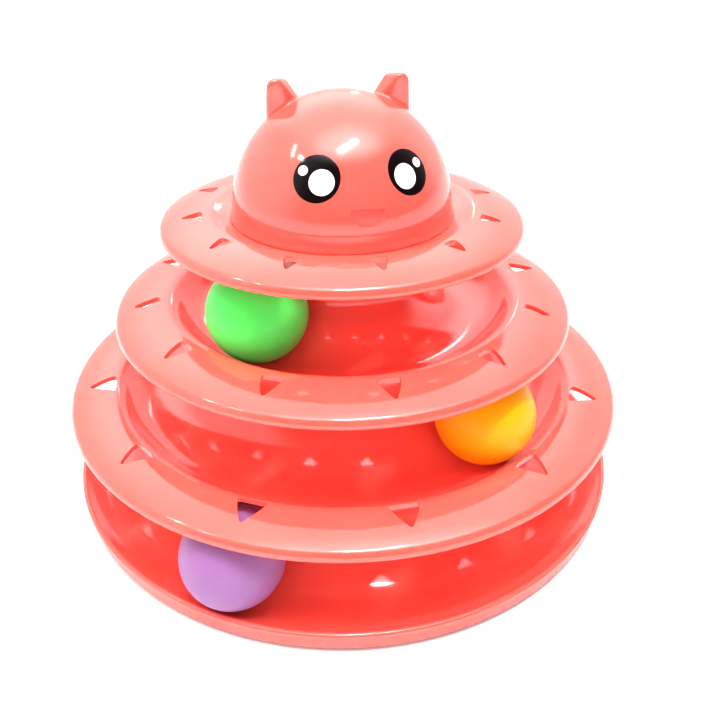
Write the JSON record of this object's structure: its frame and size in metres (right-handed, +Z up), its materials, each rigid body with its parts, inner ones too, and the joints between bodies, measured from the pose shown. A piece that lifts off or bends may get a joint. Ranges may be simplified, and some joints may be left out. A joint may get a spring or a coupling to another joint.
{
  "type": "cat ball track toy",
  "caption": "Tiered round cat toy with a ring track and a captive ball on each level, under a top plate with a domed cat head.",
  "frame": {"origin": "on the floor under the tower's axis", "axes": "+Z up along the tower's axis, the cat's face looks along -Y, +X to the right of someone facing it"},
  "size_m": [0.2486, 0.2486, 0.1763],
  "materials": {
    "shell_plastic": "glossy coral-pink injection-moulded polypropylene",
    "eye_black": "glossy black",
    "ball_purple": "satin",
    "ball_yellow": "satin",
    "ball_green": "satin",
    "foot_rubber": "matte"
  },
  "bodies": {
    "base": {"base_tray": "shell_plastic", "foot_1": "foot_rubber", "foot_2": "foot_rubber", "foot_3": "foot_rubber", "foot_4": "foot_rubber", "foot_5": "foot_rubber", "foot_6": "foot_rubber"},
    "lower_tier": {"tier_1": "shell_plastic"},
    "upper_tier": {"tier_2": "shell_plastic"},
    "top_cover": {"top_plate": "shell_plastic", "head": "shell_plastic", "left_eye": "eye_black", "right_eye": "eye_black"},
    "purple_ball": {"ball_base": "ball_purple"},
    "yellow_ball": {"ball_tier_1": "ball_yellow"},
    "green_ball": {"ball_tier_2": "ball_green"}
  },
  "joints": [
    {"name": "lower_tier_lift", "type": "slide", "parent": "base", "child": "lower_tier", "axis": [0, 0, 1], "range_m": [0, 0.06]},
    {"name": "upper_tier_lift", "type": "slide", "parent": "lower_tier", "child": "upper_tier", "axis": [0, 0, 1], "range_m": [0, 0.06]},
    {"name": "top_cover_lift", "type": "slide", "parent": "upper_tier", "child": "top_cover", "axis": [0, 0, 1], "range_m": [0, 0.06]},
    {"name": "purple_ball_run", "type": "hinge", "parent": "base", "child": "purple_ball", "pos_m": [0, 0, 0], "axis": [0, 0, 1], "continuous": true},
    {"name": "yellow_ball_run", "type": "hinge", "parent": "lower_tier", "child": "yellow_ball", "pos_m": [0, 0, 0], "axis": [0, 0, 1], "continuous": true},
    {"name": "green_ball_run", "type": "hinge", "parent": "upper_tier", "child": "green_ball", "pos_m": [0, 0, 0], "axis": [0, 0, 1], "continuous": true}
  ]
}
